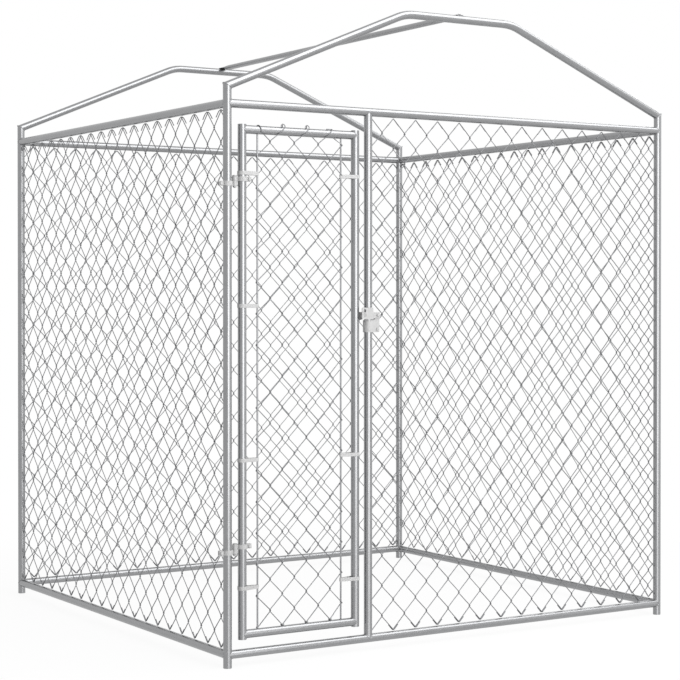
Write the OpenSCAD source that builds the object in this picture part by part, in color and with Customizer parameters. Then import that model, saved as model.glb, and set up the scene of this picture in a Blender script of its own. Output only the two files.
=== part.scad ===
// Outdoor dog kennel run of galvanised steel tube with chain-link panels and a hinged door.
// Millimetres. The origin is on the ground under the middle of the run.
// +Z is up and the door side faces -Y.

/* [Frame] */
// Distance between the corner posts' axes along the front
frame_w = 1900; // [1600:10:2400]
// Distance between the corner posts' axes from front to back
frame_d = 1790; // [1500:10:2400]
// Outside diameter of the frame and door tubes
tube_d = 29; // [24:0.5:32]
// Wall of the frame and door tubes
tube_wall = 1.5; // [1:0.1:2.5]
// Height of the bottom rails' axes above the ground
bottom_rail_z = 43.5; // [30:0.5:60]
// Height of the top rails' axes above the ground
top_rail_z = 1880; // [1840:1:1890]
// Gap left at a welded or clamped seat
seat_gap = 0.2; // [0.1:0.05:0.4]

/* [Gables] */
// Height where a post's axis meets the sloping leg of its arch
eave_z = 1938; // [1930:1:1990]
// Slope of the arch's legs in degrees
gable_slope = 22.5; // [16:0.5:26]
// Height of the axis of the arch's flat crown
crown_z = 2234; // [2180:1:2290]
// Radius of the arch's bends at the tube's axis
bend_r = 180; // [100:5:260]
// Amount by which the bending widens the tube
bend_swell = 0.2; // [0.1:0.05:0.4]
// Outside diameter of the ridge bar
ridge_d = 21.5; // [18:0.5:26]
// Wall of the ridge bar
ridge_wall = 1.5; // [1:0.1:2.5]
// Height of the ridge bar's axis above the crown's axis
ridge_rise = 13.5; // [10:0.5:20]
// Width of the flattened end of the ridge bar
tongue_w = 30; // [22:1:36]
// Length of the flattened end past the crown's axis
tongue_reach = 9; // [8:1:25]
// Length over which the ridge bar goes from flat to round
tongue_run = 34; // [24:1:60]

/* [Doorway] */
// Distance from the hinge post's axis to the door jamb's axis
jamb_x = 558; // [520:1:640]
// Distance from the hinge post's axis to the door's hinge stile
stile_gap = 56; // [52:1:64]
// Distance between the door stiles' axes
door_w = 448; // [400:1:450]
// Height of the axis of the door's bottom rail
door_bottom_z = 107; // [90:1:140]
// Height of the axis of the door's top rail
door_top_z = 1796; // [1780:1:1820]
// Length of each stile past the axis of the door rail it carries
stile_over = 17; // [15:0.5:30]

/* [Chain link] */
// Diameter of the mesh wire
wire_d = 3; // [2:0.1:4]
// Width of one diamond
pitch_x = 95.2; // [70:0.2:140]
// Height of one diamond
pitch_z = 106; // [80:0.5:150]
// First top point of the left panel, from the front post's axis
left_start = 44; // [0:1:95]
// First top point of the right panel, from the front post's axis
right_start = 48; // [0:1:95]
// First top point of the back panel, from the left post's axis
back_start = 56; // [0:1:95]
// First top point of the front panel, from the jamb's axis
front_start = 11; // [0:1:95]
// First top point of the door mesh, from the hinge side's tension bar
door_start = 1; // [0:1:95]
// Length of the shortest offcut of wire in a panel
shortest_wire = 24; // [12:1:40]
// Gap between the two layers of wires and at the wires' ends
wire_gap = 0.3; // [0.1:0.05:0.6]

/* [Door mesh fixings] */
// Diameter of the tension bars
bar_d = 6; // [4:0.5:8]
// Distance from a door stile's axis to its tension bar
bar_inset = 58.5; // [45:0.5:75]
// Thickness of the tension bands
band_t = 1.5; // [1:0.1:2.5]
// Height of the tension bands
band_h = 13; // [8:0.5:18]
// Distance that a band's straight sides are pulled in from the tangent of its bends
band_pull = 0.1; // [0.05:0.05:0.3]

/* [Hinges] */
// Thickness of the hinge and latch straps
strap_t = 3; // [2:0.1:3.4]
// Height of the hinge straps
strap_h = 16; // [12:0.5:20]
// Height of the joint between the straps of the upper hinge
upper_hinge_z = 1621.6; // [1500:0.1:1624]
// Height of the joint between the straps of the lower hinge
lower_hinge_z = 393.6; // [300:0.1:600]
// Distance from a tube's axis to the end of the strap's ears
ear_reach = 33; // [30:0.5:40]
// Slot between the two ears of a strap
ear_slot = 5; // [3:0.5:8]
// Diameter of the hinge pins
pin_d = 8; // [6:0.5:9]
// Outside diameter of the strap's eye round the pin
eye_d = 18; // [15:0.5:20]
// Diameter of the hinge pins' heads and width of their nuts
pin_head_d = 15; // [12:0.5:18]
// Thickness of the hinge pins' heads and nuts
pin_head_h = 4; // [3:0.5:6]
// Length of thread that stands out of a hinge pin's nut
pin_tail = 2; // [1:0.5:5]
// Running clearance between a hinge or latch pin and its eye
pin_clear = 0.05; // [0.02:0.01:0.1]
// Gap between two straps or between a pin head and the strap below it
turn_gap = 0.3; // [0.2:0.05:0.5]

/* [Fasteners] */
// Diameter of the clamp bolts and the ridge screws
bolt_d = 6; // [5:0.5:7]
// Width across the corners of the clamp bolts' heads, and across the ridge screws' heads
bolt_head_d = 11.5; // [10:0.5:13]
// Thickness of the clamp bolts' heads and nuts
bolt_head_h = 4; // [3:0.5:6]
// Length of thread that stands out of a nut
bolt_tail = 3; // [1:0.5:6]
// Thickness of the ridge screws' round heads
screw_head_h = 2.4; // [1.5:0.1:4]
// Length of a ridge screw inside the crown's tube
screw_tip = 12; // [6:1:20]
// Gap round a bolt in its hole
bolt_clear = 0.2; // [0.1:0.05:0.4]

/* [Latch] */
// Height of the axis of the striker rod on the door
striker_z = 1159; // [900:1:1400]
// Diameter of the striker rod
striker_d = 6; // [5:0.5:8]
// Distance of the striker's upright end from the jamb's axis
striker_back = 25; // [22:0.5:27]
// Height of the striker's upright end above its axis
striker_rise = 23; // [15:0.5:25]
// Bend radius of the striker rod at its axis
striker_bend = 7; // [5:0.5:8]
// Height of the collar strap round the jamb
collar_h = 42; // [25:1:60]
// Distance from the collar's top edge up to the striker's axis
collar_drop = 4; // [3:0.5:12]
// Distance from the jamb's axis to the ends of the collar's legs
collar_reach = 36; // [35:0.5:42]
// Distance from the jamb's axis to the collar's bolts
collar_bolt_x = 28; // [25:0.5:30]
// Height of the collar's lower bolt above its bottom edge
collar_bolt_z = 10; // [7:0.5:20]
// Height of the swinging latch loop
loop_h = 21; // [14:0.5:24]
// Distance from the jamb's axis to the inside of the loop's round end
loop_reach = 32.2; // [31:0.1:36]
// Distance from the jamb's axis to the free edge of the finger plate on the loop's front
tab_reach = 37.5; // [36:0.5:42]
// Width of the finger plate
tab_w = 46.5; // [40:0.5:52]
// Height of the finger plate above the loop
tab_rise = 15.7; // [12:0.1:30]
// Length of the finger plate below the loop
tab_drop = 4.3; // [3:0.1:6]
// Corner radius of the finger plate
tab_corner = 4; // [2:0.5:7]
// Width of the padlock slot in the finger plate
slot_w = 9.5; // [8:0.5:11]
// Length of the padlock slot
slot_h = 28; // [20:1:32]
// Distance from the finger plate's free edge to the slot
slot_inset = 7; // [5:0.5:9]
// Distance from the finger plate's top edge to the slot
slot_drop = 5; // [4:0.5:8]

/* [Hidden] */
$fn = 48;
hull_sides = 32;
tube_r = tube_d / 2;
cut = 2 * tube_d;
left_x = -frame_w / 2;
right_x = frame_w / 2;
front_y = -frame_d / 2;
back_y = frame_d / 2;

// Places along the front
hinge_stile_x = left_x + stile_gap;
latch_stile_x = hinge_stile_x + door_w;
pin_x = left_x + stile_gap / 2;
door_jamb_x = left_x + jamb_x;

// Arch: where the leg and the crown would meet, and how long each stretch is
corner_run = (crown_z - eave_z) / tan(gable_slope);
bend_tangent = bend_r * tan(gable_slope / 2);
leg_length = corner_run / cos(gable_slope) - bend_tangent;
crown_half = frame_w / 2 - corner_run - bend_tangent;
mitre_angle = 45 + gable_slope / 2;
bend_lap = 2;

// Ridge bar: its flattened ends lie on the crowns
tongue_t = 2 * ridge_wall;
tongue_z = crown_z + tube_r + seat_gap;
ridge_z = crown_z + ridge_rise;
ridge_half = frame_d / 2 - tube_d - tongue_run;
flat_half = frame_d / 2 - tube_d;

// Straps and bolts
strap_r = tube_r + seat_gap;
strap_outer_r = strap_r + strap_t;
ear_pack = ear_slot + 2 * strap_t;
ear_bolt_x = (strap_outer_r + ear_reach) / 2;
pin_head_z = strap_h + turn_gap / 2 + turn_gap;
bolt_hole_d = bolt_d + 2 * bolt_clear;

// Chain link: layers and end clearances of the leaning wires
lean = atan2(pitch_x, pitch_z);
layer_offset = wire_d / 2 * cos(30) + wire_gap / 2;
end_inset_z = tube_r + wire_d / 2 * sin(lean) + wire_gap;
end_inset_a = tube_r + wire_d / 2 * cos(lean) + wire_gap;
strap_inset_a = strap_outer_r + wire_d / 2 * cos(lean) + wire_gap;
bar_inset_a = bar_d / 2 + seat_gap + band_t + wire_d / 2 * cos(lean) + wire_gap;

// Tension bands: heights on the two door stiles
hinge_band_z = [262, 690, 1206, 1650];
latch_band_z = [258, 690, 1652];

// Latch
striker_x = door_jamb_x - striker_back;
collar_z = striker_z - collar_drop - collar_h;
clamp_z = collar_z + collar_bolt_z;
loop_z = striker_z + striker_d / 2 + turn_gap;
pivot_z = loop_z + loop_h / 2;
loop_r = strap_outer_r + turn_gap;
loop_outer_r = loop_r + strap_t;
pivot_margin = collar_reach - collar_bolt_x;
nose_x = loop_r - loop_reach;

steel = [0.68, 0.69, 0.71];
zinc = [0.80, 0.81, 0.82];
wire_grey = [0.58, 0.59, 0.61];

// Tubes

// Cross-section of a frame tube
module tube_ring() {
  difference() {
    circle(d = tube_d);
    circle(d = tube_d - 2 * tube_wall);
  }
}

// Straight frame tube from the origin along +Z
module tube(length) {
  linear_extrude(length) tube_ring();
}

// The space of an upright tube with its weld gap
module upright_space() {
  translate([0, 0, -cut]) cylinder(d = tube_d + 2 * seat_gap, h = 2 * cut);
}

// Everything beyond the joint plane of a post and its arch, which leans over the post's top
module beyond_mitre() {
  rotate([0, -mitre_angle, 0]) translate([-seat_gap / 2, -cut, -cut]) cube(2 * cut);
}

// Corner post, with a mitred top that faces +X
module corner_post() {
  difference() {
    tube(eave_z + tube_d);
    translate([0, 0, eave_z]) beyond_mitre();
  }
}

// Rail along +X between two upright tubes, coped to both.
// At a corner its +Y side is also mitred against the next rail.
module coped_rail(span, corner) {
  difference() {
    rotate([0, 90, 0]) tube(span);
    for (end = [0, 1]) {
      translate([end * span, 0, 0]) upright_space();
      if (corner) {
        translate([end * span, 0, -cut]) mirror([end, 0, 0]) rotate(45)
          translate([-cut, -seat_gap / 2, 0]) cube(2 * cut);
      }
    }
  }
}

// The four sides of the run: each starts at a corner and goes along one wall
module front_side() { translate([left_x, front_y, 0]) children(); }
module right_side() { translate([right_x, front_y, 0]) rotate(90) children(); }
module back_side() { translate([right_x, back_y, 0]) rotate(180) children(); }
module left_side() { translate([left_x, back_y, 0]) rotate(-90) children(); }

module post_front_left() { color(steel) translate([left_x, front_y, 0]) corner_post(); }
module post_front_right() { color(steel) translate([right_x, front_y, 0]) mirror([1, 0, 0]) corner_post(); }
module post_back_left() { color(steel) translate([left_x, back_y, 0]) corner_post(); }
module post_back_right() { color(steel) translate([right_x, back_y, 0]) mirror([1, 0, 0]) corner_post(); }

module wall_rail(span, height) { color(steel) translate([0, 0, height]) coped_rail(span, true); }
module front_bottom_rail() { front_side() wall_rail(frame_w, bottom_rail_z); }
module front_top_rail() { front_side() wall_rail(frame_w, top_rail_z); }
module right_bottom_rail() { right_side() wall_rail(frame_d, bottom_rail_z); }
module right_top_rail() { right_side() wall_rail(frame_d, top_rail_z); }
module back_bottom_rail() { back_side() wall_rail(frame_w, bottom_rail_z); }
module back_top_rail() { back_side() wall_rail(frame_w, top_rail_z); }
module left_bottom_rail() { left_side() wall_rail(frame_d, bottom_rail_z); }
module left_top_rail() { left_side() wall_rail(frame_d, top_rail_z); }

// Upright between the front rails that the door closes against
module door_jamb() {
  color(steel) translate([door_jamb_x, front_y, bottom_rail_z])
    rotate([0, -90, 0]) coped_rail(top_rail_z - bottom_rail_z, false);
}

// Gables and ridge

// Arch as a solid bar in the plane y = 0. Its legs run on past the joints with the posts,
// and its straight stretches run a little way into the bends, which are a touch wider.
module arch_bar(diameter) {
  for (turn = [0, 180]) rotate(turn) {
    translate([left_x, 0, eave_z]) rotate([0, 90 - gable_slope, 0]) translate([0, 0, -tube_d])
      cylinder(d = diameter, h = tube_d + leg_length + bend_lap);
    translate([-crown_half, 0, crown_z - bend_r]) rotate([90, 0, 0]) rotate(90)
      rotate_extrude(angle = gable_slope) translate([bend_r, 0]) circle(d = diameter + bend_swell);
  }
  translate([-crown_half - bend_lap, 0, crown_z]) rotate([0, 90, 0])
    cylinder(d = diameter, h = 2 * (crown_half + bend_lap));
}

// The post's side of the joint plane
module before_mitre() {
  rotate([0, -mitre_angle, 0]) translate([seat_gap / 2 - 2 * cut, -cut, -cut]) cube(2 * cut);
}

// Arch as a tube, mitred to its posts and drilled through its top at mid width for the ridge screw
module gable_arch() {
  color(steel) difference() {
    arch_bar(tube_d);
    arch_bar(tube_d - 2 * tube_wall);
    for (side = [0, 1]) mirror([side, 0, 0]) translate([left_x, 0, eave_z]) before_mitre();
    translate([0, 0, crown_z]) cylinder(d = bolt_hole_d, h = 2 * cut);
  }
}
module front_arch() { translate([0, front_y, 0]) gable_arch(); }
module back_arch() { translate([0, back_y, 0]) gable_arch(); }

// Flattened end of the ridge bar with the drop back to the round tube
module ridge_tongue() {
  difference() {
    union() {
      translate([-tongue_w / 2, -frame_d / 2 - tongue_reach, tongue_z])
        cube([tongue_w, tongue_reach + tube_d, tongue_t]);
      hull() {
        translate([-tongue_w / 2, -flat_half - tongue_t, tongue_z]) cube([tongue_w, tongue_t, tongue_t]);
        translate([0, -ridge_half, ridge_z]) rotate([90, 0, 0])
          cylinder(d = ridge_d, h = ridge_wall, $fn = hull_sides);
      }
    }
    translate([0, -frame_d / 2, tongue_z - cut]) cylinder(d = bolt_hole_d, h = 2 * cut);
  }
}

// Bar that ties the two crowns together along the ridge
module ridge_bar() {
  color(steel) {
    translate([0, ridge_half, ridge_z]) rotate([90, 0, 0]) linear_extrude(2 * ridge_half) difference() {
      circle(d = ridge_d);
      circle(d = ridge_d - 2 * ridge_wall);
    }
    ridge_tongue();
    mirror([0, 1, 0]) ridge_tongue();
  }
}

// Fasteners

// Hexagon bolt along -Z with its head standing on the origin's plane
module hex_bolt(grip) {
  shank = grip + bolt_head_h + bolt_tail;
  cylinder(d = bolt_head_d, h = bolt_head_h, $fn = 6);
  translate([0, 0, -shank]) cylinder(d = bolt_d, h = shank);
}

// Nut of that bolt, under a stack of the given grip
module hex_nut(grip) {
  translate([0, 0, -(grip + bolt_head_h)]) difference() {
    cylinder(d = bolt_head_d, h = bolt_head_h, $fn = 6);
    translate([0, 0, -bolt_head_h]) cylinder(d = bolt_hole_d, h = 3 * bolt_head_h);
  }
}

// Round-headed screws down through the ridge bar's flattened ends into the crowns
module ridge_screws() {
  run = tongue_t + seat_gap + tube_wall + screw_tip;
  color(zinc) for (y = [front_y, back_y]) translate([0, y, tongue_z + tongue_t]) {
    cylinder(d = bolt_head_d, h = screw_head_h);
    translate([0, 0, -run]) cylinder(d = bolt_d, h = run);
  }
}

// Chain link

// One wire between two points [along, height] of a panel, in the front or the back layer
module mesh_wire(from, to, layer) {
  run = to - from;
  translate([from[0], layer * layer_offset, from[1]]) rotate([0, atan2(run[0], run[1]), 0])
    cylinder(d = wire_d, h = norm(run), $fn = 6);
}

// Panel of crossing wires over a field from [low along, low height] to [high along, high height].
// The wires of each layer lean one way and pass through the top points, which stand at tip_z.
module mesh_panel(low, high, first_point, tip_z) {
  slope = pitch_z / pitch_x;
  near_run = (tip_z - high[1]) / slope;
  far_run = (tip_z - low[1]) / slope;
  first = floor((low[0] - far_run - first_point) / pitch_x);
  last = ceil((high[0] + far_run - first_point) / pitch_x);
  color(wire_grey) for (k = [first : last], lean_side = [-1, 1]) {
    tip = first_point + k * pitch_x;
    ends = [tip + lean_side * near_run, tip + lean_side * far_run];
    from = max(low[0], min(ends));
    to = min(high[0], max(ends));
    if ((to - from) / sin(lean) > shortest_wire) {
      from_z = tip_z - abs(from - tip) * slope;
      to_z = tip_z - abs(to - tip) * slope;
      mesh_wire([from, from_z], [to, to_z], -lean_side);
    }
  }
}

// Height of the wall panels' field between the rails
wall_low = bottom_rail_z + end_inset_z;
wall_high = top_rail_z - end_inset_z;

module left_mesh() {
  translate([left_x, front_y, 0]) rotate(90)
    mesh_panel([strap_inset_a, wall_low], [frame_d - end_inset_a, wall_high], left_start, wall_high);
}
module right_mesh() {
  translate([right_x, front_y, 0]) rotate(90)
    mesh_panel([end_inset_a, wall_low], [frame_d - end_inset_a, wall_high], right_start, wall_high);
}
module back_mesh() {
  translate([left_x, back_y, 0])
    mesh_panel([end_inset_a, wall_low], [frame_w - end_inset_a, wall_high], back_start, wall_high);
}
module front_mesh() {
  translate([door_jamb_x, front_y, 0])
    mesh_panel([end_inset_a, wall_low], [frame_w - jamb_x - end_inset_a, wall_high],
               front_start, wall_high);
}
module door_mesh() {
  translate([hinge_stile_x + bar_inset, front_y, 0])
    mesh_panel([bar_inset_a, door_bottom_z + end_inset_z],
               [door_w - 2 * bar_inset - bar_inset_a, door_top_z - end_inset_z],
               door_start, door_top_z + tube_r);
}

// Door

// Stile of the door, open at both ends
module door_stile() {
  color(steel) translate([0, front_y, door_bottom_z - stile_over])
    tube(door_top_z - door_bottom_z + 2 * stile_over);
}
module door_hinge_stile() { translate([hinge_stile_x, 0, 0]) door_stile(); }
module door_latch_stile() { translate([latch_stile_x, 0, 0]) door_stile(); }

module door_rail(height) {
  color(steel) translate([hinge_stile_x, front_y, height]) coped_rail(door_w, false);
}
module door_top_rail() { door_rail(door_top_z); }
module door_bottom_rail() { door_rail(door_bottom_z); }

// Rod that stretches the door mesh beside a stile, standing between the door's rails
module tension_bar() {
  color(wire_grey) translate([0, front_y, door_bottom_z + tube_r + seat_gap])
    cylinder(d = bar_d, h = door_top_z - door_bottom_z - tube_d - 2 * seat_gap);
}
module hinge_side_tension_bar() { translate([hinge_stile_x + bar_inset, 0, 0]) tension_bar(); }
module latch_side_tension_bar() { translate([latch_stile_x - bar_inset, 0, 0]) tension_bar(); }

// Outline that a tight belt takes round a large circle at the origin and a small one at +X
module belt_outline(large_r, small_r, distance) {
  turn = acos((large_r - small_r) / distance);
  side = [cos(turn), sin(turn)];
  large_side = (large_r - band_pull) * side;
  small_side = (small_r - band_pull) * side;
  circle(r = large_r);
  translate([distance, 0]) circle(r = small_r);
  polygon([
    [large_side[0], large_side[1]],
    [large_side[0], -large_side[1]],
    [distance + small_side[0], -small_side[1]],
    [distance + small_side[0], small_side[1]]
  ]);
}

// Flat band that ties a stile to its tension bar
module tension_band() {
  bar_r = bar_d / 2 + seat_gap;
  translate([0, 0, -band_h / 2]) linear_extrude(band_h) difference() {
    belt_outline(strap_r + band_t, bar_r + band_t, bar_inset);
    belt_outline(strap_r, bar_r, bar_inset);
  }
}
module hinge_side_bands() {
  color(zinc) for (z = hinge_band_z) translate([hinge_stile_x, front_y, z]) tension_band();
}
module latch_side_bands() {
  color(zinc) for (z = latch_band_z)
    translate([latch_stile_x, front_y, z]) mirror([1, 0, 0]) tension_band();
}

// Hinges

// Strap clamped round a tube at the origin, with its pin eye at +X and its bolted ears at -X
module hinge_strap() {
  color(zinc) difference() {
    union() {
      cylinder(r = strap_outer_r, h = strap_h);
      translate([stile_gap / 2, 0, 0]) cylinder(d = eye_d, h = strap_h);
      translate([0, -strap_t, 0]) cube([stile_gap / 2, 2 * strap_t, strap_h]);
      translate([-ear_reach, -ear_pack / 2, 0]) cube([ear_reach, ear_pack, strap_h]);
    }
    translate([0, 0, -strap_h]) cylinder(r = strap_r, h = 3 * strap_h);
    translate([stile_gap / 2, 0, -strap_h]) cylinder(d = pin_d + 2 * pin_clear, h = 3 * strap_h);
    translate([-2 * ear_reach, -ear_slot / 2, -strap_h]) cube([2 * ear_reach, ear_slot, 3 * strap_h]);
    translate([-ear_bolt_x, ear_pack, strap_h / 2]) rotate([90, 0, 0])
      cylinder(d = bolt_hole_d, h = 2 * ear_pack);
  }
}

// A post strap hangs below the hinge's joint and the door strap stands on it
module at_post_strap(height) {
  translate([left_x, front_y, height - turn_gap / 2 - strap_h]) children();
}
module at_door_strap(height) {
  translate([hinge_stile_x, front_y, height + turn_gap / 2]) mirror([1, 0, 0]) children();
}
module upper_post_strap() { at_post_strap(upper_hinge_z) hinge_strap(); }
module lower_post_strap() { at_post_strap(lower_hinge_z) hinge_strap(); }
module upper_door_strap() { at_door_strap(upper_hinge_z) hinge_strap(); }
module lower_door_strap() { at_door_strap(lower_hinge_z) hinge_strap(); }

// Place of a strap's clamp bolt: the head stands on the front ear
ear_grip = ear_pack + 2 * seat_gap;
module at_ears() {
  translate([-ear_bolt_x, -ear_pack / 2 - seat_gap, strap_h / 2]) rotate([90, 0, 0]) children();
}
module post_strap_bolts() {
  color(zinc) for (z = [lower_hinge_z, upper_hinge_z]) at_post_strap(z) at_ears() hex_bolt(ear_grip);
}
module post_strap_nuts() {
  color(zinc) for (z = [lower_hinge_z, upper_hinge_z]) at_post_strap(z) at_ears() hex_nut(ear_grip);
}
module door_strap_bolts() {
  color(zinc) for (z = [lower_hinge_z, upper_hinge_z]) at_door_strap(z) at_ears() hex_bolt(ear_grip);
}
module door_strap_nuts() {
  color(zinc) for (z = [lower_hinge_z, upper_hinge_z]) at_door_strap(z) at_ears() hex_nut(ear_grip);
}

// Hinge pins: headed bolts down through both eyes, with a nut under the post strap
pin_drop = strap_h + turn_gap / 2 + seat_gap + pin_head_h + pin_tail;
module hinge_pins() {
  color(zinc) for (z = [lower_hinge_z, upper_hinge_z]) translate([pin_x, front_y, z]) {
    translate([0, 0, pin_head_z]) cylinder(d = pin_head_d, h = pin_head_h);
    translate([0, 0, -pin_drop]) cylinder(d = pin_d, h = pin_drop + pin_head_z);
  }
}
module hinge_pin_nuts() {
  color(zinc) for (z = [lower_hinge_z, upper_hinge_z])
    translate([pin_x, front_y, z - pin_drop + pin_tail]) difference() {
      cylinder(d = pin_head_d, h = pin_head_h, $fn = 6);
      translate([0, 0, -pin_head_h]) cylinder(d = pin_d + 2 * pin_clear, h = 3 * pin_head_h);
    }
}

// Latch

// U-shaped strap round the jamb, whose legs run on past the jamb and stand up to carry the loop
module latch_collar() {
  color(zinc) translate([door_jamb_x, front_y, 0]) difference() {
    union() {
      translate([0, 0, collar_z]) linear_extrude(collar_h) collar_outline();
      for (leg_y = [-strap_outer_r, strap_r]) translate([tube_r + strap_t, leg_y, collar_z])
        cube([collar_reach - tube_r - strap_t, strap_t, pivot_z + pivot_margin - collar_z]);
    }
    for (z = [clamp_z, pivot_z]) translate([collar_bolt_x, cut, z]) rotate([90, 0, 0])
      cylinder(d = bolt_d + 2 * pin_clear, h = 2 * cut);
  }
}
module collar_outline() {
  difference() {
    union() {
      circle(r = strap_outer_r);
      translate([0, -strap_outer_r]) square([collar_reach, 2 * strap_outer_r]);
    }
    circle(r = strap_r);
    translate([0, -strap_r]) square([2 * collar_reach, 2 * strap_r]);
  }
}

// Loop that swings on the collar's legs and drops over the striker
module latch_loop() {
  color(zinc) translate([door_jamb_x, front_y, loop_z]) difference() {
    union() {
      linear_extrude(loop_h) difference() {
        loop_outline(loop_outer_r);
        loop_outline(loop_r);
        translate([collar_reach, -cut]) square(2 * cut);
      }
      finger_plate();
    }
    translate([collar_bolt_x, cut, loop_h / 2]) rotate([90, 0, 0])
      cylinder(d = bolt_d + 2 * pin_clear, h = 2 * cut);
  }
}

// Slotted plate with rounded corners on the loop's front leg, a little thinner than the loop
module finger_plate() {
  high = tab_rise + loop_h + tab_drop;
  slot_x = slot_inset + slot_w / 2;
  slot_top = high - slot_drop - slot_w / 2;
  translate([-tab_reach, -loop_r - seat_gap / 2, -tab_drop]) rotate([90, 0, 0])
    linear_extrude(strap_t - seat_gap) difference() {
      hull() for (x = [tab_corner, tab_w - tab_corner], z = [tab_corner, high - tab_corner])
        translate([x, z]) circle(r = tab_corner);
      hull() for (z = [slot_top - slot_h + slot_w, slot_top]) translate([slot_x, z]) circle(d = slot_w);
    }
}
module loop_outline(radius) {
  translate([nose_x, 0]) circle(r = radius);
  translate([nose_x, -radius]) square([2 * collar_reach, 2 * radius]);
}

// Bolts across the collar's legs: the lower one clamps, the upper one carries the loop
collar_grip = 2 * strap_outer_r + 2 * seat_gap;
pivot_grip = 2 * loop_outer_r + 2 * turn_gap;
module at_collar_bolt(grip, height) {
  translate([door_jamb_x + collar_bolt_x, front_y - grip / 2, height]) rotate([90, 0, 0]) children();
}
module collar_bolt() { color(zinc) at_collar_bolt(collar_grip, clamp_z) hex_bolt(collar_grip); }
module collar_nut() { color(zinc) at_collar_bolt(collar_grip, clamp_z) hex_nut(collar_grip); }
module latch_pivot() { color(zinc) at_collar_bolt(pivot_grip, pivot_z) hex_bolt(pivot_grip); }
module latch_pivot_nut() { color(zinc) at_collar_bolt(pivot_grip, pivot_z) hex_nut(pivot_grip); }

// Bent rod welded to the door's latch stile, whose upright end stands inside the loop
module latch_striker() {
  run = striker_x - latch_stile_x - striker_bend;
  color(wire_grey) translate([latch_stile_x, front_y, striker_z]) difference() {
    union() {
      rotate([0, 90, 0]) cylinder(d = striker_d, h = run);
      translate([run, 0, striker_bend]) rotate([90, 0, 0]) rotate(-90)
        rotate_extrude(angle = 90) translate([striker_bend, 0]) circle(d = striker_d);
      translate([run + striker_bend, 0, striker_bend])
        cylinder(d = striker_d, h = striker_rise - striker_bend);
    }
    upright_space();
  }
}

post_front_left();
post_front_right();
post_back_left();
post_back_right();
front_bottom_rail();
front_top_rail();
back_bottom_rail();
back_top_rail();
left_bottom_rail();
left_top_rail();
right_bottom_rail();
right_top_rail();
door_jamb();
front_arch();
back_arch();
ridge_bar();
ridge_screws();
left_mesh();
right_mesh();
back_mesh();
front_mesh();
upper_post_strap();
lower_post_strap();
post_strap_bolts();
post_strap_nuts();
hinge_pins();
hinge_pin_nuts();
latch_collar();
collar_bolt();
collar_nut();
latch_pivot();
latch_pivot_nut();
latch_loop();
door_hinge_stile();
door_latch_stile();
door_top_rail();
door_bottom_rail();
door_mesh();
hinge_side_tension_bar();
latch_side_tension_bar();
hinge_side_bands();
latch_side_bands();
upper_door_strap();
lower_door_strap();
door_strap_bolts();
door_strap_nuts();
latch_striker();
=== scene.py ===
import math
import bmesh
import bpy
from mathutils import Matrix, Vector


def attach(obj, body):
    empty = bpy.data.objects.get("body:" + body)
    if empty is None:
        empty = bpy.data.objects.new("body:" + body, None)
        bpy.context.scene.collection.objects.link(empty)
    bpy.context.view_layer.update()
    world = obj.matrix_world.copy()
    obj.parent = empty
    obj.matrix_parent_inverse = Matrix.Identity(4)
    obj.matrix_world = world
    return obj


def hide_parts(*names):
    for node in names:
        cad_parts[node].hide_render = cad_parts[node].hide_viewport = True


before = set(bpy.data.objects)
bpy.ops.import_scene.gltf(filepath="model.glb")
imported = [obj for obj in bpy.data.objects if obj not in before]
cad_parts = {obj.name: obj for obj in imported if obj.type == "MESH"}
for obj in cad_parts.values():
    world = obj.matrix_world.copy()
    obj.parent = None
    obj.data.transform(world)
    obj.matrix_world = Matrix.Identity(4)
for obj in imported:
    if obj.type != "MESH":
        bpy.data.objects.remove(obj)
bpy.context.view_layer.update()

# Frame tubes: thin round steel tube, cut to length, coped at the ends and bent for the arches,
# then hot-dip galvanised as a welded frame. The zinc skin is satin grey with faint crystals,
# cloudy patches and a fine grain.
scene = bpy.context.scene
scene.view_settings.view_transform = "Standard"
tube_r = 0.0145
front_width, side_depth = 1.900, 1.790
front_left_post = Vector((-front_width / 2, -side_depth / 2, 0.0))


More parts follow.
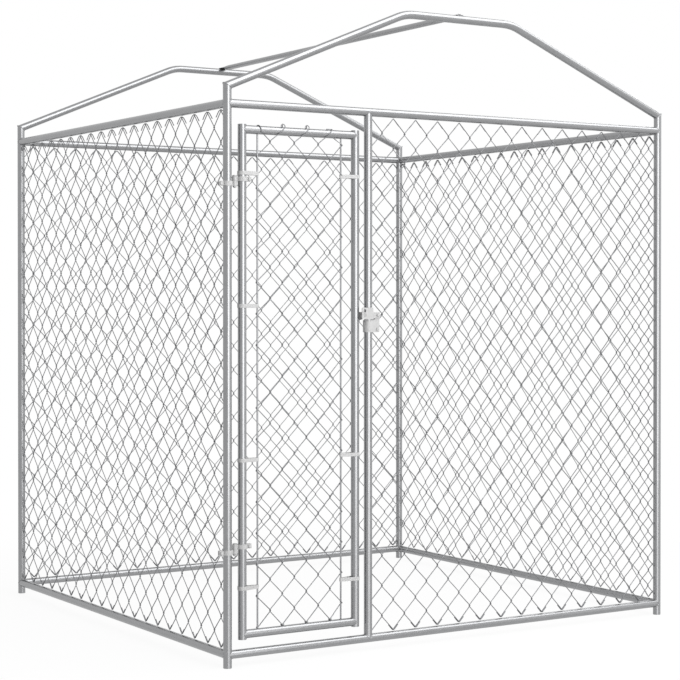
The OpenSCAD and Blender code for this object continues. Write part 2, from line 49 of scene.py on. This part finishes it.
def zinc_skin_group():
    """Tone, roughness and fine relief of a zinc skin, shared by all the finishes."""
    group = bpy.data.node_groups.new("zinc_skin", "ShaderNodeTree")
    for name, kind in (("Vector", "Vector"), ("Crystal Scale", "Float"), ("Deep Tone", "Color"),
                       ("Pale Tone", "Color"), ("Smooth", "Float"), ("Rough", "Float")):
        group.interface.new_socket(name, in_out="INPUT", socket_type="NodeSocket" + kind)
    for name, kind in (("Tone", "Color"), ("Roughness", "Float"), ("Height", "Float")):
        group.interface.new_socket(name, in_out="OUTPUT", socket_type="NodeSocket" + kind)
    nodes, links = group.nodes, group.links
    given = nodes.new("NodeGroupInput")
    made = nodes.new("NodeGroupOutput")
    crystals = nodes.new("ShaderNodeTexVoronoi")
    clouds = nodes.new("ShaderNodeTexNoise")
    clouds.inputs["Scale"].default_value = 9.0
    clouds.inputs["Detail"].default_value = 4.0
    grain = nodes.new("ShaderNodeTexNoise")
    grain.inputs["Scale"].default_value = 900.0
    grain.inputs["Detail"].default_value = 2.0
    for texture in (crystals, clouds, grain):
        links.new(given.outputs["Vector"], texture.inputs["Vector"])
    links.new(given.outputs["Crystal Scale"], crystals.inputs["Scale"])
    one_crystal = nodes.new("ShaderNodeSeparateColor")
    links.new(crystals.outputs["Color"], one_crystal.inputs["Color"])
    patches = nodes.new("ShaderNodeMix")
    patches.data_type = "FLOAT"
    patches.inputs["Factor"].default_value = 0.55
    links.new(one_crystal.outputs["Red"], patches.inputs["A"])
    links.new(clouds.outputs["Fac"], patches.inputs["B"])
    tone = nodes.new("ShaderNodeMix")
    tone.data_type = "RGBA"
    links.new(patches.outputs["Result"], tone.inputs["Factor"])
    links.new(given.outputs["Deep Tone"], tone.inputs["A"])
    links.new(given.outputs["Pale Tone"], tone.inputs["B"])
    links.new(tone.outputs["Result"], made.inputs["Tone"])
    polish = nodes.new("ShaderNodeMix")
    polish.data_type = "FLOAT"
    links.new(patches.outputs["Result"], polish.inputs["Factor"])
    links.new(given.outputs["Smooth"], polish.inputs["A"])
    links.new(given.outputs["Rough"], polish.inputs["B"])
    links.new(polish.outputs["Result"], made.inputs["Roughness"])
    links.new(grain.outputs["Fac"], made.inputs["Height"])
    return group


zinc_skin = zinc_skin_group()


def zinc_finish(name, *, deep, pale, smooth, rough, crystal_scale, relief, metal=1.0):
    """Material whose skin varies between two tones and two roughnesses."""
    material = bpy.data.materials.new(name)
    material.use_nodes = True
    nodes, links = material.node_tree.nodes, material.node_tree.links
    shader = nodes["Principled BSDF"]
    shader.inputs["Metallic"].default_value = metal
    where = nodes.new("ShaderNodeTexCoord")
    skin = nodes.new("ShaderNodeGroup")
    skin.node_tree = zinc_skin
    skin.inputs["Crystal Scale"].default_value = crystal_scale
    skin.inputs["Deep Tone"].default_value = (*deep, 1)
    skin.inputs["Pale Tone"].default_value = (*pale, 1)
    skin.inputs["Smooth"].default_value = smooth
    skin.inputs["Rough"].default_value = rough
    bump = nodes.new("ShaderNodeBump")
    bump.inputs["Strength"].default_value = relief
    bump.inputs["Distance"].default_value = 0.0004
    links.new(where.outputs["Object"], skin.inputs["Vector"])
    links.new(skin.outputs["Tone"], shader.inputs["Base Color"])
    links.new(skin.outputs["Roughness"], shader.inputs["Roughness"])
    links.new(skin.outputs["Height"], bump.inputs["Height"])
    links.new(bump.outputs["Normal"], shader.inputs["Normal"])
    return material


def finish_nodes(nodes, finish):
    """Gives CAD nodes whose shape stays a better finish."""
    for node in nodes:
        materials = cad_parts[node].data.materials
        materials.clear()
        materials.append(finish)


galvanised_tube = zinc_finish(
    "galvanised_tube", deep=(0.272, 0.275, 0.281), pale=(0.312, 0.315, 0.321),
    smooth=0.26, rough=0.30, crystal_scale=150.0, relief=0.012)
finish_nodes([
    "post_front_left", "post_front_right", "post_back_left", "post_back_right",
    "front_bottom_rail", "front_top_rail", "back_bottom_rail", "back_top_rail",
    "left_bottom_rail", "left_top_rail", "right_bottom_rail", "right_top_rail",
    "door_jamb", "front_arch", "back_arch",
    "door_hinge_stile", "door_latch_stile", "door_top_rail", "door_bottom_rail",
], galvanised_tube)


# Weld beads: each coped tube end is welded all round to the tube that it meets, and the arches
# to the tops of the posts, before the frame is dipped. The low rippled bead has the tubes' skin.
across, inward, up = Vector((1, 0, 0)), Vector((0, 1, 0)), Vector((0, 0, 1))
front_y, jamb_x = -side_depth / 2, -0.392
bottom_rail_z, top_rail_z = 0.0435, 1.880
eave_z, arch_slope = 1.938, math.radians(22.5)
hinge_stile_x, latch_stile_x = -0.894, -0.446
door_bottom_rail_z, door_top_rail_z = 0.107, 1.796
bead_r, bead_roundness, bead_ripple = 0.0017, 2, 0.08
bead_step, steps_per_ripple = math.radians(3), 3
mitre_from, mitre_to = 45, 135


def round_bars(name, lines, radius, roundness, ripple=0.0):
    """Mesh of round bars along the given lines, which swell and shrink by the ripple."""
    curve = bpy.data.curves.new(name + "_lines", "CURVE")
    curve.dimensions = "3D"
    curve.bevel_depth = radius
    curve.bevel_resolution = roundness
    curve.use_fill_caps = True
    for line in lines:
        spline = curve.splines.new("POLY")
        spline.points.add(len(line) - 1)
        spline.points.foreach_set("co", [c for point in line for c in (*point, 1.0)])
        swell = [1.0 + ripple * math.cos(math.tau * i / steps_per_ripple) for i in range(len(line))]
        spline.points.foreach_set("radius", swell)
        spline.use_smooth = True
    holder = bpy.data.objects.new(name + "_lines", curve)
    scene.collection.objects.link(holder)
    bpy.context.view_layer.update()
    swept = holder.evaluated_get(bpy.context.evaluated_depsgraph_get())
    mesh = bpy.data.meshes.new_from_object(swept)
    bpy.data.objects.remove(holder)
    mesh.name = name
    mesh.polygons.foreach_set("use_smooth", [True] * len(mesh.polygons))
    return mesh


def add_piece(name, mesh, body, material, slot, *nodes):
    """New piece that rides on a body and stands for the CAD nodes named last."""
    piece = bpy.data.objects.new(name, mesh)
    scene.collection.objects.link(piece)
    mesh.materials.clear()
    mesh.materials.append(material)
    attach(piece, body)
    if nodes:
        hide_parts(*nodes)


def bead_turns(first, last):
    """Angles along a bead between two angles given in degrees."""
    steps = round(math.radians(last - first) / bead_step)
    return [math.radians(first) + i * bead_step for i in range(steps + 1)]


def cope_bead(middle, along, through, side, first=0, last=360):
    """Line where a tube's end sits on another tube of the same size."""
    return [middle + tube_r * (along * abs(math.cos(t)) + through * math.cos(t) + side * math.sin(t))
            for t in bead_turns(first, last)]


def corner_beads(post, rail_z, across_way, inward_way):
    """Beads of two rails that meet on a post and, in a short mitre, on each other."""
    middle = Vector((post.x, post.y, rail_z))
    mitre = [middle + tube_r * ((across_way + inward_way) * math.sin(t) + up * math.cos(t))
             for t in bead_turns(mitre_from, mitre_to)]
    return [cope_bead(middle, across_way, up, inward_way, mitre_to, mitre_from + 360),
            cope_bead(middle, inward_way, up, across_way, mitre_to, mitre_from + 360), mitre]


def eave_bead(post, across_way):
    """Ring where an arch is mitred to the top of its post."""
    leg = across_way * math.cos(arch_slope) + up * math.sin(arch_slope)
    bisector = (leg - up).normalized()
    long_r = tube_r / math.sin(leg.angle(-up) / 2)
    middle = Vector((post.x, post.y, eave_z))
    return [middle + inward * tube_r * math.cos(t) + bisector * long_r * math.sin(t)
            for t in bead_turns(0, 360)]


frame_beads = []
for way_x in (1, -1):
    for way_y in (1, -1):
        post = Vector((-way_x * front_width / 2, -way_y * side_depth / 2, 0.0))
        for rail_z in (bottom_rail_z, top_rail_z):
            frame_beads += corner_beads(post, rail_z, across * way_x, inward * way_y)
        frame_beads.append(eave_bead(post, across * way_x))
for rail_z, away in ((bottom_rail_z, up), (top_rail_z, -up)):
    frame_beads.append(cope_bead(Vector((jamb_x, front_y, rail_z)), away, across, inward))
door_beads = [cope_bead(Vector((stile_x, front_y, rail_z)), away, up, inward)
              for stile_x, away in ((hinge_stile_x, across), (latch_stile_x, -across))
              for rail_z in (door_bottom_rail_z, door_top_rail_z)]
for body, beads in (("frame", frame_beads), ("door", door_beads)):
    name = body + "_weld_beads"
    add_piece(name, round_bars(name, beads, bead_r, bead_roundness, bead_ripple),
              body, galvanised_tube, "galvanised_tube")


# Ridge bar: a lighter tube of the same steel, its ends pressed flat into tongues that lie on the
# crowns of the two arches, each held down by one round-headed screw. The tip bends down a little
# round the crown.
ridge_r, ridge_z, ridge_sides = 0.01075, 2.2475, 40
tongue_half_w, tongue_half_t, tongue_z = 0.0150, 0.0015, 2.2502
press_from, press_to, press_steps = 0.832, 0.866, 10
press_squareness = 0.55
tongue_end = 0.904
tongue_tip = (  # distance from the end, share of the full width, and drop
    (0.0060, 1.00, 0.0002), (0.0030, 0.97, 0.0010), (0.0012, 0.88, 0.0018), (0.0, 0.72, 0.0024))
ridge_edge = math.radians(40)


def pressed_section(ring, y, squeeze, width, drop):
    """Moves a ring of the tube to a place along the bar, pressed by squeeze from round to flat."""
    half_w = (ridge_r + (tongue_half_w - ridge_r) * squeeze) * width
    half_h = ridge_r + (tongue_half_t - ridge_r) * squeeze
    middle_z = ridge_z + (tongue_z - ridge_z) * squeeze - drop
    boxy = 1.0 - press_squareness * squeeze
    for i, corner in enumerate(ring):
        turn = math.tau * i / len(ring)
        c, s = math.cos(turn), math.sin(turn)
        corner.co = (math.copysign(half_w * abs(c) ** boxy, c), y,
                     middle_z + math.copysign(half_h * abs(s) ** boxy, s))


def grown_ring(shape, ring):
    """Extrudes a ring of edges and gives the new ring in the old one's order."""
    edges = [e for e in shape.edges if e.verts[0] in ring and e.verts[1] in ring]
    grown = bmesh.ops.extrude_edge_only(shape, edges=edges)["geom"]
    follow = {}
    for edge in (g for g in grown if isinstance(g, bmesh.types.BMEdge)):
        for corner in edge.verts:
            for near in corner.link_edges:
                if near.other_vert(corner) in ring:
                    follow[near.other_vert(corner)] = corner
    return [follow[corner] for corner in ring]


ridge_sections = []
for i in range(press_steps + 1):
    done = i / press_steps
    squeeze = 0.5 - 0.5 * math.cos(math.pi * done)
    ridge_sections.append((press_from + (press_to - press_from) * done, squeeze, 1.0, 0.0))
for short, width, drop in tongue_tip:
    ridge_sections.append((tongue_end - short, 1.0, width, drop))
ridge = bmesh.new()
ridge_middle = bmesh.ops.create_circle(
    ridge, cap_ends=False, segments=ridge_sides, radius=ridge_r)["verts"]
pressed_section(ridge_middle, 0.0, 0.0, 1.0, 0.0)
for way in (-1, 1):
    rim = ridge_middle
    for y, squeeze, width, drop in ridge_sections:
        rim = grown_ring(ridge, rim)
        pressed_section(rim, way * y, squeeze, width, drop)
    bmesh.ops.contextual_create(ridge, geom=rim)
bmesh.ops.recalc_face_normals(ridge, faces=ridge.faces)
ridge_mesh = bpy.data.meshes.new("pressed_ridge_bar")
ridge.to_mesh(ridge_mesh)
ridge.free()
ridge_mesh.polygons.foreach_set("use_smooth", [True] * len(ridge_mesh.polygons))
ridge_mesh.set_sharp_from_angle(angle=ridge_edge)
add_piece("pressed_ridge_bar", ridge_mesh, "frame", galvanised_tube, "galvanised_tube", "ridge_bar")


# Chain link of the four walls: galvanised wire bent flat-zigzag, each wire threaded into the last
# so that their bends hook together. All the strokes that lean one way lie on one face of the net.
# At the top and bottom two wires meet in a point on the rail, and their ends are knuckled back.
wire_r, wire_roundness = 0.00165, 1
half_diamond = 0.0476
stroke_depth = 0.0017
hook_past = 0.0030
bend_reach, fold_reach, bend_steps = 0.0036, 0.0027, 4
bar_turn_steps = 8
tail_shape = ((0.24, 0.8), (0.5, 1.0), (1.0, 1.1))  # share of its length, share of its spring
foot_tail, head_tail, knuckle_past = 0.026, 0.034, 0.0018
flat_splay, flat_spring = 0.0001, 0.0003
wire_sink, shortest_wire = 0.0004, 0.004
wall_tip_z, wall_row_h, wall_rows = 1.8613, 0.0529, 34
mesh_wire = zinc_finish(
    "galvanised_wire", deep=(0.165, 0.168, 0.174), pale=(0.225, 0.228, 0.234),
    smooth=0.30, rough=0.40, crystal_scale=260.0, relief=0.05)


def rounded_bend(corner, before, after, reach):
    """Short curve through a bend, from one face of the net to the other."""
    start = corner + (before - corner).normalized() * reach
    end = corner + (after - corner).normalized() * reach
    start.y, end.y = before.y, after.y
    steps = [i / bend_steps for i in range(bend_steps + 1)]
    return [start.lerp(corner, t).lerp(corner.lerp(end, t), t) for t in steps]


def stroke_side(lower, upper):
    """Face of the net on which a stroke lies, from the way it leans."""
    return stroke_depth if upper.x > lower.x else -stroke_depth


def bar_turn(bar, out, corner, before_side):
    """Half turn of a wire round a tension bar, from one face of the net to the other."""
    bar_x, turn_r, climb = bar
    first = math.copysign(turn_r, before_side)
    line = []
    for i in range(bar_turn_steps + 1):
        t = math.pi * i / bar_turn_steps
        line.append(Vector((bar_x + out * turn_r * math.sin(t), first * math.cos(t),
                            corner.z + climb * (t / math.pi - 0.5))))
    return line


def zigzag_wire(column, first_point, tip_z, row_h, rows, bars):
    """Line of one wire through all its bends in a panel's own plane, and its two end points."""
    corners = []
    for row in range(rows, -1, -1):
        on_left = (row + column) % 2 == 0
        place = column if on_left else column + 1
        out = -1 if on_left else 1
        past = 0.0 if row in (0, rows) else hook_past
        x = first_point + place * half_diamond + out * past
        corners.append((Vector((x, 0.0, tip_z - row * row_h)), place, out))
    line = []
    for (before, _, _), (corner, place, out), (after, _, _) in zip(
            corners, corners[1:], corners[2:]):
        before = Vector((before.x, stroke_side(before, corner), before.z))
        after = Vector((after.x, stroke_side(corner, after), after.z))
        if place in bars:
            line += bar_turn(bars[place], out, corner, before.y)
        else:
            line += rounded_bend(corner, before, after, bend_reach)
    return line, corners[0][0], corners[-1][0]


def knuckled_end(last, point, row_h, turn, *, past, tail, splay, spring):
    """End of a wire past its point, at the top (turn 1) or bottom (turn -1) of the net.

    It folds back beside the stroke of the wire that it meets there. The tail stands off that
    stroke by splay in the net's plane, and by spring out of it."""
    lean = Vector((half_diamond, 0.0, row_h)).normalized()
    side = 1 if (point.x - last.x) * turn > 0 else -1
    stroke = Vector((side * lean.x, 0.0, lean.z)) * turn
    back = Vector((stroke.x, 0.0, -stroke.z))
    outward = Vector((math.copysign(lean.z, stroke.x), 0.0, turn * lean.x))
    layer = inward * side * stroke_depth
    corner = point + stroke * past + layer
    sprung = outward * splay + inward * side * spring
    near_last = Vector((last.x, layer.y, last.z))
    bend = rounded_bend(corner, near_last, corner + back * tail, fold_reach)
    return bend + [corner + back * tail * share + sprung * part
                   for share, part in tail_shape if tail * share > 2 * fold_reach]


def kept_between(line, low, high):
    """The stretches of a line that lie between two tubes."""
    runs, run = [], []
    for a, b in zip(line, line[1:]):
        inside = low <= a.x <= high
        if inside:
            run.append(a)
        for edge in (low, high):
            if (a.x - edge) * (b.x - edge) < 0:
                run.append(a.lerp(b, (edge - a.x) / (b.x - a.x)))
                if inside:
                    runs.append(run)
                    run = []
    if run and low <= line[-1].x <= high:
        run.append(line[-1])
    if run:
        runs.append(run)
    return [r for r in runs
            if len(r) > 2 and sum((b - a).length for a, b in zip(r, r[1:])) > shortest_wire]


def wall_net(side, corner, turn, span, first_point, head_splay=flat_splay, head_spring=flat_spring):
    """Net of one wall, from the upright at a corner to the next, with its first point at the top."""
    low, high = tube_r - wire_sink, span - tube_r + wire_sink
    place = Matrix.Translation(corner) @ Matrix.Rotation(turn, 4, "Z")
    first = math.floor((low - first_point) / half_diamond)
    beyond = math.ceil((high - first_point) / half_diamond)
    runs = []
    for column in range(first, beyond):
        bends, bottom, top = zigzag_wire(column, first_point, wall_tip_z, wall_row_h, wall_rows, {})
        foot = knuckled_end(bends[0], bottom, wall_row_h, -1, past=knuckle_past, tail=foot_tail,
                            splay=flat_splay, spring=flat_spring)
        head = knuckled_end(bends[-1], top, wall_row_h, 1, past=knuckle_past, tail=head_tail,
                            splay=head_splay, spring=head_spring)
        wire = foot[::-1] + bends + head
        runs += [[place @ point for point in run] for run in kept_between(wire, low, high)]
    name = side + "_chain_link"
    add_piece(name, round_bars(name, runs, wire_r, wire_roundness),
              "frame", mesh_wire, "mesh_wire", side + "_mesh")


quarter_turn = math.radians(90)
jamb_from_post = jamb_x + front_width / 2
wall_net("left", front_left_post, quarter_turn, side_depth, 0.044,
         head_splay=0.0009, head_spring=0.0030)
wall_net("right", front_left_post + across * front_width, quarter_turn, side_depth, 0.048)
wall_net("back", front_left_post + inward * side_depth, 0.0, front_width, 0.056,
         head_splay=0.0025)
wall_net("front", front_left_post + across * jamb_from_post, 0.0,
         front_width - jamb_from_post, 0.011)


# Chain link of the door: the same net, each edge bent round a tension bar. At the top every other
# wire passes in front of the rail and the rest behind it, and their ends are bent over the tube,
# two of them into small rings that stand on it.
door_columns, door_rows, door_row_h = 7, 32, 0.05272
door_first, door_tip_z = 0.116, 1.8105
hinge_bar_x, latch_bar_x = 0.1145, 0.4455
bar_r, bar_clearance, bar_climb = 0.003, 0.0001, 0.009
bar_wrap = bar_r + wire_r + bar_clearance
tension_bars = {0: (hinge_bar_x, bar_wrap, bar_climb),
                door_columns: (latch_bar_x, bar_wrap, bar_climb)}
door_foot_past, door_foot_tail, door_foot_spring = 0.0026, 0.0058, 0.0001
in_front, behind = -1, 1
rail_wrap, rail_steps, rail_drift = tube_r + wire_r, 16, 0.006
ring_r, ring_shift, ring_steps = 0.0075, -0.002, 20
ring_first, ring_turn = math.radians(-35), math.radians(250)
ring_lean = math.radians(8)
uphill = inward * math.sin(ring_lean) + up * math.cos(ring_lean)
hook_from_ring = (  # a hooked end behind a ring, from the ring's crest
    (0.0035, 0.0095, -0.0052), (0.0018, 0.0058, -0.0030),
    (0.0006, 0.0037, -0.0008), (-0.0004, 0.0034, 0.0012))
lying_end = (  # an end that lies along the top of the rail, from the rail's middle
    (0.005, -0.0030, 0.0158), (0.000, -0.0010, 0.0162),
    (-0.008, 0.0006, 0.0163), (-0.014, 0.0012, 0.0163))


def over_rail(last, tip_x, way, lift_off, share):
    """Line from a wire's last bend round the top rail, in front of it or behind.

    lift_off is the angle above the rail's middle, in degrees, at which the wire leaves the tube,
    and share the part of its travel along the rail that is done where it first touches it."""
    reach = math.hypot(last.y, last.z - door_top_rail_z)
    touch = math.atan2(last.z - door_top_rail_z, last.y * way) + math.acos(rail_wrap / reach)
    line = []
    for i in range(rail_steps + 1):
        t = touch + (math.radians(lift_off) - touch) * i / rail_steps
        done = share + (1.0 - share) * i / rail_steps
        line.append(Vector((last.x + (tip_x - last.x) * done, way * rail_wrap * math.cos(t),
                            door_top_rail_z + rail_wrap * math.sin(t))))
    return line


def end_ring(start):
    """Ring at a wire's end, from lower right over the top to lower left, and its middle."""
    middle = start - ring_r * (across * math.cos(ring_first) + uphill * math.sin(ring_first))
    turns = [ring_first + ring_turn * i / ring_steps for i in range(1, ring_steps + 1)]
    return [middle + ring_r * (across * math.cos(t) + uphill * math.sin(t)) for t in turns], middle


door_runs = []
for column in range(door_columns):
    bends, bottom, top = zigzag_wire(
        column, door_first, door_tip_z, door_row_h, door_rows, tension_bars)
    foot = knuckled_end(bends[0], bottom, door_row_h, -1, past=door_foot_past,
                        tail=door_foot_tail, splay=0.0, spring=door_foot_spring)
    last = bends[-1]
    if column in (1, 3):
        ring_start_x = top.x + ring_shift + ring_r * math.cos(ring_first)
        head = over_rail(last, ring_start_x, in_front, lift_off=48, share=0.58)
        ring, ring_middle = end_ring(head[-1])
        head += ring
    elif column in (2, 4):
        head = over_rail(last, top.x + rail_drift, behind, lift_off=62, share=0.50)
        crest = ring_middle + uphill * ring_r
        head += [crest + Vector(step) for step in hook_from_ring]
    elif column == 0:
        head = over_rail(last, top.x, in_front, lift_off=118, share=0.88)
    elif column == 5:
        head = over_rail(last, top.x + rail_drift, in_front, lift_off=70, share=0.56)
        rail_middle = Vector((top.x, 0.0, door_top_rail_z))
        head += [rail_middle + Vector(step) for step in lying_end]
    else:
        head = over_rail(last, top.x, behind, lift_off=22, share=0.60)
    door_runs.append([front_left_post + point for point in foot[::-1] + bends + head])
add_piece("door_chain_link", round_bars("door_chain_link", door_runs, wire_r, wire_roundness),
          "door", mesh_wire, "mesh_wire", "door_mesh")


# Rods of the door: two straight galvanised bars that the tension bands hold tight in the edges of
# the net, and the striker, a bent rod on the latch stile with the wire's duller skin.
galvanised_rod = zinc_finish(
    "galvanised_rod", deep=(0.25, 0.253, 0.26), pale=(0.30, 0.303, 0.31),
    smooth=0.28, rough=0.36, crystal_scale=200.0, relief=0.03)
finish_nodes(["hinge_side_tension_bar", "latch_side_tension_bar"], galvanised_rod)
finish_nodes(["latch_striker"], mesh_wire)


# Pressed fittings: hinge straps, tension bands, latch collar and loop, cut and bent from zinc
# plated strip with the edges eased, and the bolts, nuts, pins and screws that hold them.
edge_ease, ease_segments = 0.0005, 2
same_point = 1e-6
flat_angle, edge_angle, shade_angle = math.radians(1), math.radians(40), math.radians(25)
zinc_fitting = zinc_finish(
    "zinc_plated_fitting", deep=(0.375, 0.375, 0.375), pale=(0.425, 0.425, 0.425),
    smooth=0.50, rough=0.60, crystal_scale=420.0, relief=0.04, metal=0.14)


def eased_copy(node):
    """A node's shape with its loose triangles joined and its sharp edges eased."""
    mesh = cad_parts[node].data.copy()
    shape = bmesh.new()
    shape.from_mesh(mesh)
    bmesh.ops.remove_doubles(shape, verts=shape.verts, dist=same_point)
    bmesh.ops.dissolve_limit(shape, angle_limit=flat_angle, verts=shape.verts, edges=shape.edges)
    sharp = [e for e in shape.edges
             if len(e.link_faces) == 2 and e.calc_face_angle() > edge_angle]
    bmesh.ops.bevel(shape, geom=sharp, offset=edge_ease, offset_type="OFFSET",
                    segments=ease_segments, profile=0.5, affect="EDGES", clamp_overlap=True,
                    material=-1)
    shape.to_mesh(mesh)
    shape.free()
    mesh.polygons.foreach_set("use_smooth", [True] * len(mesh.polygons))
    mesh.set_sharp_from_angle(angle=shade_angle)
    return mesh


fittings = {
    "frame": ["upper_post_strap", "lower_post_strap", "post_strap_bolts", "post_strap_nuts",
              "hinge_pins", "hinge_pin_nuts", "latch_collar", "collar_bolt", "collar_nut",
              "latch_pivot", "latch_pivot_nut", "ridge_screws"],
    "door": ["hinge_side_bands", "latch_side_bands", "upper_door_strap", "lower_door_strap",
             "door_strap_bolts", "door_strap_nuts"],
    "latch_loop": ["latch_loop"],
}
for body, names in fittings.items():
    for node in names:
        add_piece(node + "_eased", eased_copy(node), body, zinc_fitting, "zinc_fittings", node)


# Studio: a pale floor that fades into a white surround and mirrors the posts a little where the
# metal sees it at a glance. A tall soft light stands in front of the door side and a wide one
# above it, two weaker ones to the right, and an even light comes from all round.
floor_half = 30.0


def seen_directly(nodes, links):
    """Socket that is 1 for what the camera sees, itself or in a reflection, and 0 for lighting."""
    path = nodes.new("ShaderNodeLightPath")
    seen = path.outputs["Is Camera Ray"]
    for kind in ("Is Glossy Ray", "Is Transmission Ray"):
        either = nodes.new("ShaderNodeMath")
        either.operation = "MAXIMUM"
        links.new(seen, either.inputs[0])
        links.new(path.outputs[kind], either.inputs[1])
        seen = either.outputs[0]
    return seen


surround = bpy.data.worlds.new("white_surround")
scene.world = surround
surround.use_nodes = True
nodes, links = surround.node_tree.nodes, surround.node_tree.links
backdrop = nodes["Background"]
backdrop.inputs["Color"].default_value = (1, 1, 1, 1)
level = nodes.new("ShaderNodeMapRange")
level.inputs["To Min"].default_value = 0.45
level.inputs["To Max"].default_value = 1.0
links.new(seen_directly(nodes, links), level.inputs["Value"])
links.new(level.outputs["Result"], backdrop.inputs["Strength"])

floor_finish = bpy.data.materials.new("pale_floor")
floor_finish.use_nodes = True
nodes, links = floor_finish.node_tree.nodes, floor_finish.node_tree.links
matt = nodes["Principled BSDF"]
matt.inputs["Base Color"].default_value = (0.9, 0.9, 0.9, 1)
matt.inputs["Roughness"].default_value = 1.0
matt.inputs["Specular IOR Level"].default_value = 0.0
glow = nodes.new("ShaderNodeEmission")
where = nodes.new("ShaderNodeTexCoord")
from_middle = nodes.new("ShaderNodeVectorMath")
from_middle.operation = "LENGTH"
fade = nodes.new("ShaderNodeMapRange")
fade.inputs["From Min"].default_value = 1.2
fade.inputs["From Max"].default_value = 2.6
fade.inputs["To Min"].default_value = 0.92
fade.inputs["To Max"].default_value = 1.0
whitened = nodes.new("ShaderNodeMath")
whitened.operation = "MULTIPLY"
faded = nodes.new("ShaderNodeMixShader")
links.new(where.outputs["Object"], from_middle.inputs[0])
links.new(from_middle.outputs["Value"], fade.inputs["Value"])
links.new(fade.outputs["Result"], whitened.inputs[0])
links.new(seen_directly(nodes, links), whitened.inputs[1])
links.new(whitened.outputs[0], faded.inputs["Fac"])
links.new(matt.outputs[0], faded.inputs[1])
links.new(glow.outputs[0], faded.inputs[2])

polished = nodes.new("ShaderNodeBsdfGlossy")
polished.inputs["Color"].default_value = (0.95, 0.95, 0.95, 1)
polished.inputs["Roughness"].default_value = 0.2
ray = nodes.new("ShaderNodeLightPath")
sheen = nodes.new("ShaderNodeFresnel")
glancing = nodes.new("ShaderNodeMath")
glancing.operation = "MULTIPLY"
mirrored = nodes.new("ShaderNodeMixShader")
links.new(ray.outputs["Is Glossy Ray"], glancing.inputs[0])
links.new(sheen.outputs["Fac"], glancing.inputs[1])
links.new(glancing.outputs[0], mirrored.inputs["Fac"])
links.new(faded.outputs[0], mirrored.inputs[1])
links.new(polished.outputs[0], mirrored.inputs[2])
links.new(mirrored.outputs[0], nodes["Material Output"].inputs["Surface"])

ground = bmesh.new()
bmesh.ops.create_grid(ground, x_segments=1, y_segments=1, size=floor_half)
floor_mesh = bpy.data.meshes.new("pale_floor")
ground.to_mesh(floor_mesh)
ground.free()
floor_mesh.materials.append(floor_finish)
floor = bpy.data.objects.new("pale_floor", floor_mesh)
scene.collection.objects.link(floor)

for name, size, power, place, aim in (
    ("front_soft_light", (3.0, 4.8), 140.0, (-0.4, -5.0, 2.42), (-0.4, 0.0, 2.42)),
    ("upper_soft_light", (7.5, 4.6), 310.0, (1.6, -3.4, 5.6), (0.0, -0.9, 1.9)),
    ("right_fill_light", (6.0, 3.0), 26.0, (5.5, -3.0, 1.6), (0.0, 0.0, 1.2)),
    ("far_right_light", (2.8, 1.7), 36.0, (5.2, 2.0, 5.1), (0.6, -0.9, 2.1)),
):
    soft_light = bpy.data.lights.new(name, "AREA")
    soft_light.shape = "RECTANGLE"
    soft_light.size, soft_light.size_y = size
    soft_light.energy = power
    lamp = bpy.data.objects.new(name, soft_light)
    lamp.location = place
    lamp.rotation_euler = (Vector(aim) - Vector(place)).to_track_quat("-Z", "Y").to_euler()
    scene.collection.objects.link(lamp)


# Camera at the photograph's standpoint: a long lens a little above waist height, almost level,
# with a small shift to frame the run.
yaw, pitch = 0.56189, -0.00966
eye = bpy.data.cameras.new("camera")
eye.sensor_width = 36.0
eye.lens = 95.03
eye.shift_y = -0.0393
camera = bpy.data.objects.new("camera", eye)
camera.location = (-3.8120, -6.1438, 1.2394)
ahead = Vector((math.sin(yaw) * math.cos(pitch), math.cos(yaw) * math.cos(pitch), math.sin(pitch)))
camera.rotation_euler = ahead.to_track_quat("-Z", "Y").to_euler()
scene.collection.objects.link(camera)
scene.camera = camera
